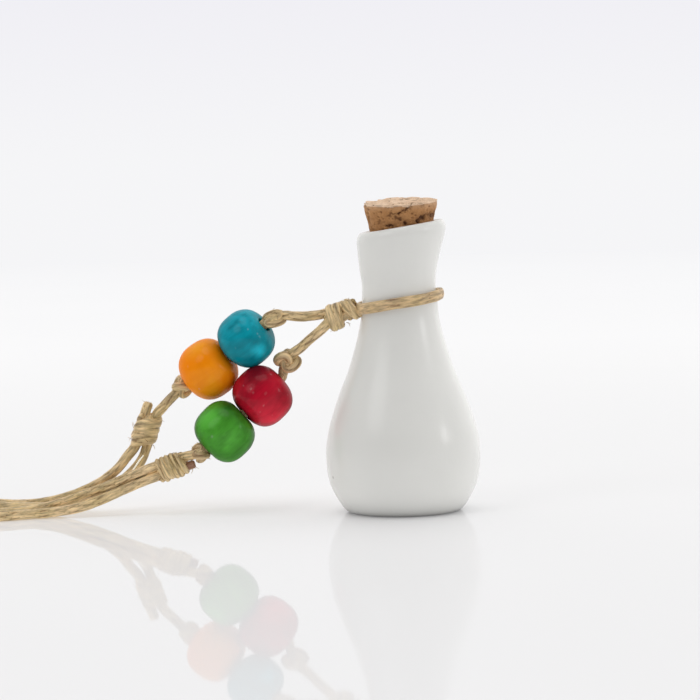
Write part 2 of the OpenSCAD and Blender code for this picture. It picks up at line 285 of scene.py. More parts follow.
def group(name, inputs, outputs):
    """Starts a shader group and returns it with its input and output nodes."""
    tree = bpy.data.node_groups.new(name, "ShaderNodeTree")
    for way, sockets in (("INPUT", inputs), ("OUTPUT", outputs)):
        for label, kind in sockets:
            tree.interface.new_socket(name=label, in_out=way, socket_type="NodeSocket" + kind)
    return tree, tree.nodes.new("NodeGroupInput"), tree.nodes.new("NodeGroupOutput")


def mottle_group():
    """Soft blotches and fine grains, shared by the glaze, the cork, the fibre, the cord and the table."""
    tree, take, give = group(
        "Mottle",
        [("Vector", "Vector"), ("Blotch Scale", "Float"), ("Grain Scale", "Float")],
        [("Blotch", "Float"), ("Grain", "Float")],
    )
    here, wide, fine, *_ = take.outputs
    blotch, grain = clouds(tree, here, wide, 3, 0.55), clouds(tree, here, fine, 5, 0.65)
    feed(tree, give, Blotch=ramp(tree, blotch, 0.3, 0.7), Grain=grain)
    return tree


def wood_group():
    """Wood grain along Z under a stain: fine streaks, pores and cloudy patches."""
    tree, take, give = group(
        "Stained wood",
        [("Vector", "Vector"), ("Stain", "Color"), ("Deep", "Color")],
        [("Color", "Color"), ("Height", "Float")],
    )
    here, stain, deep, *_ = take.outputs
    long = node(tree, "Mapping", vector_type="TEXTURE", in_Vector=here, in_Scale=(1, 1, 5))
    streaks = clouds(tree, long, 1100, 4, 0.6, in_Distortion=0.4)
    patches = clouds(tree, here, 230, 2, 0.5)
    pores = node(tree, "TexVoronoi", in_Vector=long, in_Scale=900, in_Randomness=1)
    both = ramp(tree, reckon(tree, "MULTIPLY_ADD", streaks, 0.5, patches), 0.42, 0.86)
    height = reckon(tree, "SUBTRACT", streaks, ramp(tree, pores, 0.02, 0.16, 1, 0))
    feed(tree, give, Color=mix(tree, both, deep, stain), Height=height)
    return tree


def material(name, roughness, **values):
    """Starts a material and returns it with its tree, its Principled shader and its Object coordinates."""
    made = bpy.data.materials.new(name)
    made.use_nodes = True
    tree = made.node_tree
    shader = tree.nodes["Principled BSDF"]
    feed(tree, shader, Roughness=roughness, **values)
    return made, tree, shader, node(tree, "TexCoord").outputs["Object"]


def shared(tree, name, builder, **values):
    """Places a shared group, which is built the first time, and fills its inputs."""
    made = tree.nodes.new("ShaderNodeGroup")
    made.node_tree = bpy.data.node_groups.get(name) or builder()
    feed(tree, made, **values)
    return made


def mottled(tree, here, blotch_scale, grain_scale=GRAIN_SCALE):
    """Places the shared mottle and returns its blotches and its grains."""
    made = shared(
        tree, "Mottle", mottle_group, Vector=here, Blotch_Scale=blotch_scale, Grain_Scale=grain_scale
    )
    return made.outputs["Blotch"], made.outputs["Grain"]


def away_from(tree, here, spot):
    """Distance from a spot."""
    return node(tree, "VectorMath", operation="DISTANCE", in_0=here, in_1=spot)


def glaze_material(settings):
    """Milky white glaze with a faint orange peel and one dark pit."""
    made, tree, shader, here = material(
        "Glaze", settings.roughness, Specular_IOR_Level=0.4, Coat_Weight=0.15, Coat_Roughness=0.12
    )
    blotch, grain = mottled(tree, here, 110, 900)
    tint = mix(tree, blotch, scaled(settings.glaze, 0.97), settings.glaze)
    near = ramp(tree, away_from(tree, here, PIT), *PIT_EDGE, 1, 0)
    skin = mix(tree, near, tint, settings.pit)
    feed(tree, shader, Base_Color=skin, Normal=bump(tree, grain, 0.05, 0.4 * MM))
    return made


def cork_material(settings):
    """Cork: warm cells with dark pores and cracks, drawn from the depth kept on the mesh, and a painted
    highlight along the upper edge of the side.
    """
    made, tree, shader, here = material("Cork", 0.85)
    blotch, grain = mottled(tree, here, 640, 2600)
    cells = node(tree, "TexVoronoi", in_Vector=here, in_Scale=1900, in_Randomness=1)
    # The side turns towards the top's colour by the kept top value, which near the side's upper edge is a
    # painted highlight
    side_to_top_with_painted_highlight = mix(tree, kept(tree, "top"), settings.side, settings.light)
    base = mix(tree, blotch, side_to_top_with_painted_highlight, settings.blotch, "MULTIPLY")
    hollow = reckon(tree, "MAXIMUM", ramp(tree, grain, 0.62, 0.74), kept(tree, "depth"))
    rough = bump(tree, reckon(tree, "MULTIPLY_ADD", cells, 0.5, grain), 0.7, 0.4 * MM)
    feed(tree, shader, Base_Color=mix(tree, hollow, base, settings.dark), Normal=rough)
    return made


def bead_material(bead, stain, settings):
    """Stained and lacquered wood whose grain runs along the bead's hole, with painted highlights in paler
    patches and painted shade at the rims and in one darker patch.
    """
    name = bead.name.capitalize() + " stain"
    made, tree, shader, here = material(name, settings.roughness, Specular_IOR_Level=0.04, Coat_Roughness=0.1)
    spin = Vector(bead.along).rotation_difference(Vector((0, 0, 1))).to_euler()
    turn = node(tree, "Mapping", vector_type="POINT", in_Vector=here, in_Rotation=spin)
    # Spots round the bead: the thin places are painted highlights, the last one is a painted shadow patch
    patches = []
    for *towards, reach in [*bead.thin, bead.shade]:
        spot = Vector(bead.middle) * MM + Vector(towards).normalized() * settings.width / 2
        patches.append(ramp(tree, away_from(tree, here, spot), 0.2 * reach * MM, 1.4 * reach * MM, 1, 0))
    *thin, deep = patches
    # Painted highlight: in its patches the stain is raised by the bead's glow factor and lifted a little
    # towards white
    pale = mix(tree, reckon(tree, "MAXIMUM", thin[0], thin[-1]), stain, scaled(stain, bead.glow, 0.015))
    wood = shared(tree, "Stained wood", wood_group, Vector=turn, Stain=pale, Deep=scaled(stain, bead.grain))
    height = wood.outputs["Height"]
    worn = mix(tree, kept(tree, "depth"), wood, scaled(stain, 0.45, 0.35))
    # Painted shade: darker towards the rims, by the facing, and in the painted shadow patch, down to the
    # bead's rim share
    facing = node(tree, "LayerWeight", in_Blend=0.3).outputs["Facing"]
    shade = reckon(tree, "MAXIMUM", ramp(tree, facing, 0.35, 0.95, 0, 0.8), ramp(tree, deep, 0, 1, 0, 0.85))
    feed(
        tree, shader, Base_Color=mix(tree, shade, worn, scaled((bead.rim,) * 3, 1), "MULTIPLY"),
        Coat_Weight=ramp(tree, facing, 0.25, 0.75, 0.28, 0.03),
        Roughness=ramp(tree, height, 0.3, 0.8, settings.roughness - 0.06, settings.roughness + 0.12),
        Normal=bump(tree, height, 0.22, 0.2 * MM),
    )
    return made


def cord_material(settings):
    """Waxed cord: light plies with painted shade in the grooves between them, greener stretches, and fine
    fibres along the cord.
    """
    made, tree, shader, here = material("Waxed cord", 0.5, Coat_Weight=0.12, Coat_Roughness=0.35)
    tint = mix(tree, ramp(tree, mottled(tree, here, 260)[0], 0, 1, 0, 0.75), settings.light, settings.olive)
    # Painted shade: darker in the grooves, from the ply value kept on the mesh
    body = mix(tree, ramp(tree, kept(tree, "ply"), 0, 0.7), settings.dark, tint)
    strand = node(tree, "UVMap", uv_map="cord")
    spread = node(tree, "Mapping", vector_type="POINT", in_Vector=strand, in_Scale=(11, 0.42, 1))
    hairs = clouds(tree, spread, 1, 3, 0.6)
    lit = mix(tree, 1.0, body, ramp(tree, hairs, 0.3, 0.7, 0.42, 1.45), "MULTIPLY")
    feed(
        tree, shader, Base_Color=mix(tree, kept(tree, "sealed"), lit, settings.burnt),
        Normal=bump(tree, hairs, 0.5, 0.2 * MM),
    )
    return made


# Modelling helpers


def clear_selection():
    """Leaves nothing selected, in object mode."""
    if bpy.context.object and bpy.context.object.mode != "OBJECT":
        bpy.ops.object.mode_set(mode="OBJECT")
    bpy.ops.object.select_all(action="DESELECT")


def lathe(name, profile, steps):
    """Draws a profile in the XZ plane by extruding one point along it, and spins it into a shell."""
    clear_selection()
    bpy.ops.mesh.primitive_plane_add(size=MM)
    piece = bpy.context.object
    piece.name = name
    bpy.ops.object.mode_set(mode="EDIT")
    bpy.ops.mesh.merge(type="CENTER")
    bpy.ops.transform.translate(value=(profile[0][0], 0, profile[0][1]))
    for (x, z), (next_x, next_z) in zip(profile, profile[1:]):
        step = (next_x - x, 0, next_z - z)
        bpy.ops.mesh.extrude_region_move(TRANSFORM_OT_translate={"value": step})
    bpy.ops.mesh.select_all(action="SELECT")
    bpy.ops.mesh.spin(steps=steps, angle=math.tau, center=(0, 0, 0), axis=(0, 0, 1))
    bpy.ops.mesh.select_all(action="SELECT")
    bpy.ops.mesh.remove_doubles(threshold=2e-6)
    bpy.ops.mesh.normals_make_consistent(inside=False)
    bpy.ops.object.mode_set(mode="OBJECT")
    return piece


def subdivide(piece, levels):
    """Smooths a piece with an applied subdivision."""
    clear_selection()
    piece.select_set(True)
    bpy.context.view_layer.objects.active = piece
    modifier = piece.modifiers.new("Smooth", "SUBSURF")
    modifier.levels = levels
    modifier.render_levels = levels
    bpy.ops.object.modifier_apply(modifier=modifier.name)
    bpy.ops.object.shade_smooth()


def keep(mesh, **lists):
    """Keeps values on a mesh, one for each point."""
    for name, values in lists.items():
        mesh.attributes.new(name, "FLOAT", "POINT").data.foreach_set("value", values)


def dress(piece, finish, slot, *nodes, body=BODY):
    """Gives a piece its material and body, and hides the CAD nodes that it stands for. The slot is not used.
    """
    piece.data.materials.clear()
    piece.data.materials.append(finish)
    if nodes:
        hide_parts(*nodes)
    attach(piece, body)


def mm(spots):
    """Spots of a profile, given in mm, in metres."""
    return [(across * MM, height * MM) for across, height in spots]


def ease(value, low, high):
    """Rises smoothly from 0 at low to 1 at high."""
    t = min(max((value - low) / (high - low), 0), 1)
    return t * t * (3 - 2 * t)


def outline_radius(height):
    """Radius of the bottle at a height, in metres, on a smooth curve through OUTLINE."""
    z = height / MM
    last = len(OUTLINE) - 1
    i = max(k for k in range(last) if OUTLINE[k][0] <= z or k == 0)
    before, here = OUTLINE[max(i - 1, 0)], OUTLINE[i]
    after, beyond = OUTLINE[i + 1], OUTLINE[min(i + 2, last)]
    span = after[0] - here[0]
    t = min(max((z - here[0]) / span, 0), 1)
    rise = (after[1] - before[1]) / (after[0] - before[0]) * span
    fall = (beyond[1] - here[1]) / (beyond[0] - here[0]) * span
    radius = (
        (2 * t**3 - 3 * t**2 + 1) * here[1] + (t**3 - 2 * t**2 + t) * rise
        + (3 * t**2 - 2 * t**3) * after[1] + (t**3 - t**2) * fall
    )
    return radius * MM


def make_bottle(settings):
    """The bottle: its outline is spun, its lip rolled over and tilted, and its glaze left slightly uneven."""
    tilt = math.tan(settings.lip_slant)
    mouth = 4.72 * MM
    drop = 1.3 * MM
    lip_z = settings.height - drop
    roll = (outline_radius(lip_z) - mouth) / 2
    foot = mm([(0, 0.35), (5.6, 0.3), (6.6, 0.06), (7.1, 0), (7.6, 0), (8.05, 0.1)])
    side = [(outline_radius(z * MM), z * MM) for z in np.arange(0.5, lip_z / MM - 0.3, 0.62)]
    turns = [math.pi * k / 16 for k in range(17)]
    lip = [(mouth + roll + roll * math.cos(a), lip_z + drop * math.sin(a)) for a in turns]
    seat = [(mouth - 0.21 * (lip_z - z * MM), z * MM) for z in (38.2, 37.2, 36.2, 35.4)]
    neck = mm([(3.55, z) for z in (34.6, 33, 31, 29)])
    levels = (27, 25, 23, 21, 18, 15, 12, 9, 6.5, 5)
    belly = [(outline_radius(z * MM) - settings.wall, z * MM) for z in levels]
    base = mm([(7.9, 3.6), (6.6, 2.8)]) + [(4.6 * MM, settings.floor), (0, settings.floor)]
    piece = lathe("glazed_bottle", foot + side + lip + seat + neck + belly + base, 96)
    subdivide(piece, 1)
    for vertex in piece.data.vertices:
        x, y, z = vertex.co
        across = math.hypot(x, y)
        lean = ease(z, 31.5 * MM, lip_z)
        drift = 0.35 * MM * ease(z, 34 * MM, lip_z)
        outside = across > outline_radius(min(z, lip_z)) - 0.7 * settings.wall and across > 0
        z += lean * x * tilt
        if outside and x > 0:
            waist = ease(z, 29.5 * MM, 32.5 * MM) * (1 - ease(z, 34 * MM, 38.5 * MM))
            x -= x / across * 0.2 * MM * waist
            x += x / across * 0.25 * MM * ease(z, 37.5 * MM, 40.5 * MM)
        elif outside:
            x += x / across * 0.1 * MM * lean
        sway = noise.noise(Vector((x, y, z)) * 130)
        if outside and z > 1.5 * MM:
            push = 0.05 * MM * sway / across
            x, y = x + x * push, y + y * push
        vertex.co = (x + drift, y, z)
    return piece


# Cracks of the cork: points in mm and a width. The first five are on the front, which the photograph shows
CRACKS = [
    ([(-4.6, -1.5, 43.5), (-4.35, -1.7, 42.4), (-4.2, -1.3, 41.3)], 0.4),
    ([(-2.9, -3.35, 41.4), (-2.3, -3.75, 41.1), (-1.6, -4.1, 40.9), (-0.4, -4.5, 41.2)], 0.36),
    ([(-0.7, -4.8, 42.1), (0.1, -4.75, 41.7), (0.7, -4.6, 41.1)], 0.46),
    ([(2.3, -4.2, 41.4), (3, -4, 42), (3.9, -3.4, 42.3), (4.6, -2.3, 42.1), (4.9, -0.8, 41.7)], 0.45),
    ([(0.7, -5.1, 43.6), (0.1, -5, 43.1), (-0.3, -4.9, 42.7)], 0.26),
    ([(0.8, 4.9, 43.4), (1.8, 4.6, 42.1), (1.6, 4.5, 41.2)], 0.4),
    ([(4.8, 1.7, 43.2), (4.6, 1.9, 42)], 0.3),
    ([(-3.6, 3.6, 43.1), (-2.9, 4.1, 42.6), (-2.2, 4.4, 42.5)], 0.4),
    ([(-2.2, 0.4, 44.2), (-1.1, 1.1, 44.2), (0.2, 0.9, 44.2)], 0.3),
    ([(1.8, -1.4, 44.2), (3.3, -0.4, 44.2)], 0.26),
    ([(0.6, 2.9, 44.2), (1.2, 3.6, 44.2)], 0.3), ([(-3.4, -1.8, 44.2), (-1.6, -2.6, 44.2)], 0.26),
]


def crack_depth(place):
    """How deep a point lies in the nearest crack, from 0 to 1, with ragged edges and breaks."""
    wander, fray = noise.noise_vector(place * 520), noise.noise_vector(place * 2100)
    ragged = place + wander * 0.45 * MM + fray * 0.22 * MM
    best = 0.0
    for points, width in CRACKS:
        for a, b in zip(points, points[1:]):
            a, b = Vector(a) * MM, Vector(b) * MM
            along = b - a
            t = min(max((ragged - a).dot(along) / along.length_squared, 0), 1)
            gap = (ragged - (a + along * t)).length / (width * MM)
            best = max(best, 1 - ease(gap, 0.55, 1.05), 0.3 - 0.3 * ease(gap, 0.6, 2.2))
    return best * (0.72 + 0.28 * ease(noise.noise(place * 1300), -0.25, 0.15))


def seam_depth(place):
    """Thin wavy seams that run round the cork where its layers part, from 0 to 1."""
    spot = Vector((place.x * 330, place.y * 330, place.z * 800))
    gap = abs(noise.noise(spot + 0.4 * noise.noise_vector(place * 1500)))
    here = ease(noise.noise(place * 420 + Vector((5, 2, 9))), 0.02, 0.3)
    return (1 - ease(gap, 0.01, 0.09)) * here


def cork_pores(rng):
    """Middles and radii of the pores, first on the side and then on the cut top."""
    pores = []
    for count, on_side, small, large in ((190, True, 0.1, 0.26), (80, False, 0.08, 0.22)):
        for _ in range(count):
            turn = rng.uniform(0, math.tau)
            height = rng.uniform(39.4, 44) if on_side else CORK_TOP / MM
            radius = 3.4 + (height - 35.1) * 0.2056 if on_side else 5.1 * math.sqrt(rng.uniform(0, 1))
            middle = Vector((radius * math.cos(turn), radius * math.sin(turn), height)) * MM
            pores.append((middle, rng.uniform(small, large) * MM))
    return pores


def make_cork(settings):
    """The cork: a cut cone with a flaky top, pores, seams and cracks pushed into it."""
    noise.seed_set(NOISE_SEED)
    foot_z, top_z = cork_low.z, CORK_TOP
    flare, rise, rings = settings.top_radius - settings.foot_radius, top_z - foot_z, 52
    side = [(settings.foot_radius + flare * k / rings, foot_z + rise * k / rings) for k in range(rings + 1)]
    rim = [(settings.top_radius * s, top_z) for s in np.linspace(0.97, 0, 20)]
    base = [(settings.foot_radius * s, foot_z) for s in np.linspace(0, 0.94, 6)]
    piece = lathe("cork_stopper", base + side + rim, 120)
    subdivide(piece, 1)
    pores = cork_pores(random.Random(11))
    depths, top_and_painted_edge_highlight = [], []
    for vertex in piece.data.vertices:
        place = vertex.co.copy()
        up = ease(place.z, 38.8 * MM, top_z)
        out = Vector((place.x, place.y, 0))
        reach = out.length / settings.top_radius
        deep = crack_depth(place) if place.z > 39 * MM else 0
        seam = seam_depth(place) * up
        for middle, size in pores:
            gap = (place - middle).length / size
            if gap < 1:
                deep = max(deep, 0.8 * (1 - gap))
        layers = Vector((place.x * 420, place.y * 420, place.z * 1100))
        coarse = noise.noise(place * 620) * 0.16 + noise.noise(layers) * 0.16
        coarse += noise.noise(place * 2600) * 0.06
        on_top = place.z > 43.9 * MM
        inward = -out.normalized() if reach > 0.3 else Vector()
        push = (inward + Vector((0, 0, -1 if on_top else 0))).normalized()
        chip = max(0, noise.noise(place * 900 + Vector((3, 1, 7)))) * ease(reach, 0.9, 1)
        chip *= ease(place.z, 43.2 * MM, top_z)
        sheet = Vector((place.x * 260, place.y * 900, 0.5))
        flake = 0.16 * ease(noise.noise(sheet), -0.05, 0.05) if on_top else 0
        wear = (0.42 * max(deep, 0.6 * seam) + (0.06 + coarse) * up + 0.4 * chip + flake) * MM
        place += push * wear
        shift = ease(vertex.co.z, 39 * MM, top_z)
        place.z += shift * (place.y * math.tan(settings.cut) + place.x * math.tan(settings.side_cut))
        place.x += 0.4 * MM
        vertex.co = place
        depths.append(min(1, max(deep, 0.8 * seam, 0.8 * chip)))
        # Painted highlight: near its upper edge the side takes up to 0.4 of the cut top's colour
        top_and_painted_edge_highlight.append(1.0 if on_top else 0.4 * ease(vertex.co.z, 42.6 * MM, top_z))
    keep(piece.data, depth=depths, top=top_and_painted_edge_highlight)
    return piece


Bead = namedtuple("Bead", "name middle along wide long seed nicks grain rim glow thin shade")

# Beads: middle in mm, direction of the hole, widest and longest as shares of the width, seed, number of
# nicks, share of the stain in the grain, share left at the rims under the painted shade, gain of the stain
# in the painted highlights, then the painted highlight patches and the painted shadow patch, which are
# directions from the middle with a reach in mm
BEADS = [
    Bead("blue", (-22.05, 3, 24.9), (-0.76, 0.25, -0.6), 0.945, 0.825, 3, 8, 0.5, 0.5, 1.9, [
        (-0.4, -0.42, 0.82, 3.3), (0.45, -0.8, -0.4, 1.1),
    ], (0.9, -0.2, 0.5, 1.2)),
    Bead("orange", (-27.65, 4.95, 20.5), (-0.8, 0.24, -0.55), 0.99, 0.86, 5, 6, 0.9, 0.95, 1.35, [
        (0.2, -0.8, -0.5, 3.4), (-0.3, -0.5, 0.8, 2),
    ], (0.8, -0.2, -0.6, 1)),
    Bead("red", (-19.95, 2.4, 16.65), (-0.74, -0.19, -0.645), 1, 0.865, 8, 34, 0.45, 0.3, 1.4, [
        (0.45, -0.6, -0.6, 3.2),
    ], (-0.15, -0.55, 0.85, 2)),
    Bead("green", (-25.45, 1.3, 11.8), (-0.743, -0.07, -0.666), 0.99, 0.865, 13, 12, 0.4, 0.3, 1.6, [
        (-0.5, -0.65, 0.55, 2.3), (0.1, -0.95, -0.1, 2),
    ], (0.2, -0.4, 0.9, 1.9)),
]


def make_bead(bead, settings):
    """A drilled bead: a barrel is spun, then worn out of true, with small nicks."""
    radius, half = bead.wide * settings.width / 2, bead.long * settings.width / 2
    hole = settings.hole / 2
    shell = []
    for k in range(41):
        a = math.pi * (k / 40 - 0.5)
        ring = radius * max(math.cos(a), 0) ** 0.74
        if ring > hole + 0.12 * MM:
            shell.append((ring, half * math.copysign(abs(math.sin(a)) ** 0.8, a)))
    end = shell[-1][1]
    rim = [(hole + 0.05 * MM, end - 0.02 * MM), (hole, end - 0.25 * MM)]
    bore = [(hole, z * MM) for z in np.linspace(end / MM - 0.8, 0.8 - end / MM, 7)]
    closing = [(hole, 0.25 * MM - end), (hole + 0.05 * MM, 0.02 * MM - end), shell[0]]
    piece = lathe(bead.name + "_stained_bead", shell + rim + bore + closing, 80)
    subdivide(piece, 1)
    rng = random.Random(bead.seed)
    nicks = []
    for _ in range(bead.nicks):
        aim = Vector((rng.gauss(0, 1), rng.gauss(0, 1), rng.gauss(0, 1))).normalized()
        nicks.append((aim, rng.uniform(0.02, 0.06), rng.uniform(0.015, 0.05) * MM))
    depths = []
    offset = Vector((1, 2, 3)) * bead.seed
    for vertex in piece.data.vertices:
        place = vertex.co.copy()
        way = place.normalized()
        skin = ease(math.hypot(place.x, place.y), hole + 0.3 * MM, hole + 1.2 * MM)
        sway = noise.noise(place * 190 + offset) * 0.13 + noise.noise(place * 520 + offset) * 0.035
        deep = 0.0
        for aim, size, depth in nicks:
            gap = (way - aim).length / size
            if gap < 1:
                deep = max(deep, depth / (0.05 * MM) * (1 - gap * gap))
        place -= way * skin * (sway * MM + deep * 0.05 * MM - 0.03 * MM)
        vertex.co = place
        depths.append(min(0.55, deep * 0.4) * skin)
    keep(piece.data, depth=depths)
    turn = Vector((0, 0, 1)).rotation_difference(Vector(bead.along)).to_matrix().to_4x4()
    piece.data.transform(Matrix.Translation(Vector(bead.middle) * MM) @ turn)
    return piece


# Cord


def route_curve(route, gap):
    """Evenly spaced points, in metres, on a smooth curve through a route in mm."""
    points = np.array(route, float)
    dense = []
    for i in range(len(points) - 1):
        a, b = points[max(i - 1, 0)], points[i]
        c, d = points[i + 1], points[min(i + 2, len(points) - 1)]
        for t in np.linspace(0, 1, 24, endpoint=False):
            square, cube = 2 * a - 5 * b + 4 * c - d, 3 * b - a - 3 * c + d
            dense.append(0.5 * (2 * b + (c - a) * t + square * t**2 + cube * t**3))
    dense.append(points[-1])
    return even(np.array(dense) * MM, gap)


def along_path(path):
    """How far along a path each of its points lies."""
    return np.concatenate([[0], np.cumsum(np.linalg.norm(np.diff(path, axis=0), axis=1))])


def read_off(rows, reach, at):
    """Rows that belong to the points of a path, read off at distances along it."""
    return np.stack([np.interp(at, reach, rows[:, k]) for k in range(3)], axis=1)


def even(dense, gap):
    """The same line with its points an even distance apart."""
    reach = along_path(dense)
    count = max(int(round(reach[-1] / gap)), 4)
    return read_off(dense, reach, np.linspace(0, reach[-1], count + 1))


def even_with(path, ups, gap):
    """Evens a path and carries its up directions along."""
    reach = along_path(path)
    at = np.linspace(0, reach[-1], int(reach[-1] / gap) + 1)
    return read_off(path, reach, at), read_off(ups, reach, at)


def unit(rows):
    """Each row at length one."""
    return rows / np.maximum(np.linalg.norm(rows, axis=1, keepdims=True), 1e-12)


class Plait:
    """Gathers the plaited tubes that make one piece."""

    def __init__(self, settings, depth=1.0):
        self.radius = settings.diameter / 2
        self.pitch = settings.pitch
        self.relief = depth * settings.relief
        self.rows, self.faces, self.ply, self.sealed, self.uv = [], [], [], [], []

    def tube(self, path, ups, across=1.0, thick=1.0, sides=28, pairs=5, sealed=0.0, taper=None, pitch=1.0):
        """Adds a tube with a plaited skin. Its across and thick are shares of the cord's radius."""
        start = sum(len(r) for r in self.rows)
        ahead = unit(np.gradient(path, axis=0))
        ups = np.broadcast_to(np.array(ups, float), path.shape)
        side = unit(np.cross(ahead, ups))
        up = np.cross(side, ahead)
        reach = along_path(path)
        turn = np.arange(sides) / sides
        stitch = reach[:, None] / (self.pitch * pitch)
        one, two = pairs * turn + stitch, pairs * turn - stitch
        over = (np.floor(one) + np.floor(two)) % 2 < 0.5
        wide = np.where(over, one % 1, two % 1)
        far = np.where(over, two % 1, one % 1)
        ply = np.sin(np.pi * wide) ** 0.7 * (0.45 + 0.55 * np.sin(np.pi * far) ** 0.5)
        rng = np.random.default_rng(len(self.rows) + len(path))
        marks = np.linspace(0, reach[-1], max(int(reach[-1] / (1.6 * MM)), 2))
        clear = np.interp(reach, marks, rng.uniform(0.35, 1.15, len(marks)))[:, None]
        swell = np.interp(reach, marks, rng.uniform(0.97, 1.05, len(marks)))[:, None]
        ply = 1 - clear * (1 - ply)
        size = self.radius * swell * (1 - self.relief * (1 - ply))
        if taper is not None:
            size = size * np.asarray(taper)[:, None]
        angle = math.tau * turn
        rings = (
            path[:, None, :]
            + side[:, None, :] * (across * np.cos(angle) * size)[:, :, None]
            + up[:, None, :] * (thick * np.sin(angle) * size)[:, :, None]
        )
        self.rows += [rings.reshape(-1, 3), path[:1], path[-1:]]
        self.ply += list(ply.ravel()) + [0.5, 0.5]
        self.sealed += [sealed] * (ply.size + 2)
        count = len(path)
        for i in range(count - 1):
            low, high = start + i * sides, start + (i + 1) * sides
            near, off = reach[i : i + 2] / MM
            for k in range(sides):
                n = (k + 1) % sides
                self.faces.append((low + k, low + n, high + n, high + k))
                left, right = k / sides, (k + 1) / sides
                self.uv += [left, near, right, near, right, off, left, off]
        end = start + (count - 1) * sides
        first, last = end + sides, end + sides + 1
        for k in range(sides):
            n = (k + 1) % sides
            self.faces += [(first, start + n, start + k), (last, end + k, end + n)]
            self.uv += [0.5, 0, (k + 1) / sides, 0.1, k / sides, 0.1] * 2

    def piece(self, name):
        """Makes the gathered tubes into one mesh."""
        mesh = bpy.data.meshes.new(name)
        mesh.from_pydata(np.concatenate(self.rows).tolist(), [], self.faces)
        mesh.uv_layers.new(name="cord").data.foreach_set("uv", self.uv)
        keep(mesh, ply=self.ply, sealed=self.sealed)
        mesh.polygons.foreach_set("use_smooth", [True] * len(mesh.polygons))
        made = bpy.data.objects.new(name, mesh)
        bpy.context.scene.collection.objects.link(made)
        return made


def wraps(plait, middle, along, radius, length, turns, lean=0.0, thick=0.8, seed=1, start=0.0):
    """Winds a flattened cord round a knot, with sizes in mm. lean is the tilt of its turns."""
    radius, length = radius * MM, length * MM
    axis = Vector(along).normalized()
    right = Vector((1, 0, 0)) - axis * axis.x
    right = Vector((0, 0, 1)) - axis * axis.z if right.length < 0.5 else right
    right.normalize()
    front = axis.cross(right)
    rng = random.Random(seed)
    wave = [(rng.uniform(0.04, 0.11), rng.uniform(0, math.tau), k) for k in (2, 3, 5)]
    steps = int(turns * 40)
    pitch = length / turns
    half = 0.56 * pitch
    path, ups = [], []
    for i in range(steps + 1):
        t = i / steps
        turn = math.tau * turns * t + start
        wobble = sum(size * math.sin(k * turn * 0.37 + phase) for size, phase, k in wave)
        out = right * math.cos(turn) + front * math.sin(turn)
        barrel = 1 - 0.16 * abs(2 * t - 1) ** 3
        spot = radius * barrel * (1 + 0.5 * wobble) * out
        rise = (t - 0.5) * (length - pitch) + lean * radius * math.cos(turn) + wobble * pitch * 0.6
        path.append(spot + axis * rise)
        ups.append(out)
    path, ups = even_with(np.array(path), np.array(ups), 0.1 * MM)
    swell = 1 + 0.12 * np.sin(np.linspace(0, 2.3 * math.tau * turns, len(path)) + seed)
    spots = path + np.array(middle) * MM
    plait.tube(spots, ups, across=half / plait.radius, thick=thick, pairs=4, taper=swell)


def core(plait, middle, along, radius, length):
    """A plain heart inside a knot, with sizes in mm, so that nothing shows between its turns."""
    axis = np.array(Vector(along).normalized())
    path = np.array(middle) * MM + np.linspace(-0.5, 0.5, 24)[:, None] * length * MM * axis
    round_end = 1 - 0.6 * np.abs(np.linspace(-1, 1, 24)) ** 4
    size = radius * MM / plait.radius
    plait.tube(path, (0.1, 1, 0.1), across=size, thick=size, taper=round_end)


def fuzz(plait, middle, along, radius, length, count, seed):
    """Short loose fibres that stand out of a knot, with sizes in mm."""
    radius, length = radius * MM, length * MM
    axis = Vector(along).normalized()
    right = axis.orthogonal().normalized()
    front = axis.cross(right)
    rng = random.Random(seed)
    centre = Vector(middle) * MM
    relief, plait.relief = plait.relief, 0
    for _ in range(count):
        turn = rng.uniform(0, math.tau)
        out = right * math.cos(turn) + front * math.sin(turn)
        start = centre + axis * rng.uniform(-0.5, 0.5) * length + out * radius * 0.9
        aim = out * rng.uniform(0.3, 0.8) + axis * rng.uniform(-1, 1) + out.cross(axis) * rng.uniform(-1, 1)
        aim.normalize()
        reach, bend = rng.uniform(0.5, 1.3) * MM, out.cross(aim) * rng.uniform(-0.4, 0.4) - out * 0.3
        path = np.array([start + aim * reach * t + bend * reach * t * t for t in np.linspace(0, 1, 7)])
        thin = rng.uniform(0.035, 0.06) * MM / plait.radius
        taper = np.linspace(1, 0.4, len(path))
        plait.tube(path, (0.1, 0.2, 1), across=thin, thick=thin, sides=5, taper=taper)
    plait.relief = relief


def overhand(plait, middle, along, size, roll, thick, sealed):
    """A drawn-tight overhand knot round the cord: a three-lobed loop, squeezed to the size in mm."""
    axis = Vector(along).normalized()
    right = (Vector((1, 0, 0)) - axis * axis.x).normalized()
    front = axis.cross(right)
    t = np.linspace(0, math.tau, 160)
    flat = np.stack([np.sin(t) + 2 * np.sin(2 * t), np.cos(t) - 2 * np.cos(2 * t), -np.sin(3 * t)], axis=1)
    flat = flat / np.array([3, 3, 1]) @ np.array(Matrix.Rotation(roll, 3, "Z")).T
    half = np.array(size) / 2 * MM - plait.radius * thick
    path = flat * np.maximum(half, 0.28 * MM) @ np.array([right, front, axis])
    path, ups = even_with(path, unit(path), 0.1 * MM)
    plait.tube(path + np.array(middle) * MM, ups, across=thick, thick=thick, pairs=3, sealed=sealed)


# Operators


# Windows: direction, cosines at the outer and the inner edge of the soft border, brightness
WINDOWS = [
    ((-0.62, -0.5, 0.6), 0.955, 0.975, 1.5),
    ((0.89, -0.37, 0.27), 0.99, 0.996, 4.0),
    ((-0.12, -0.2, 1), 0.93, 0.965, 1.5),
]


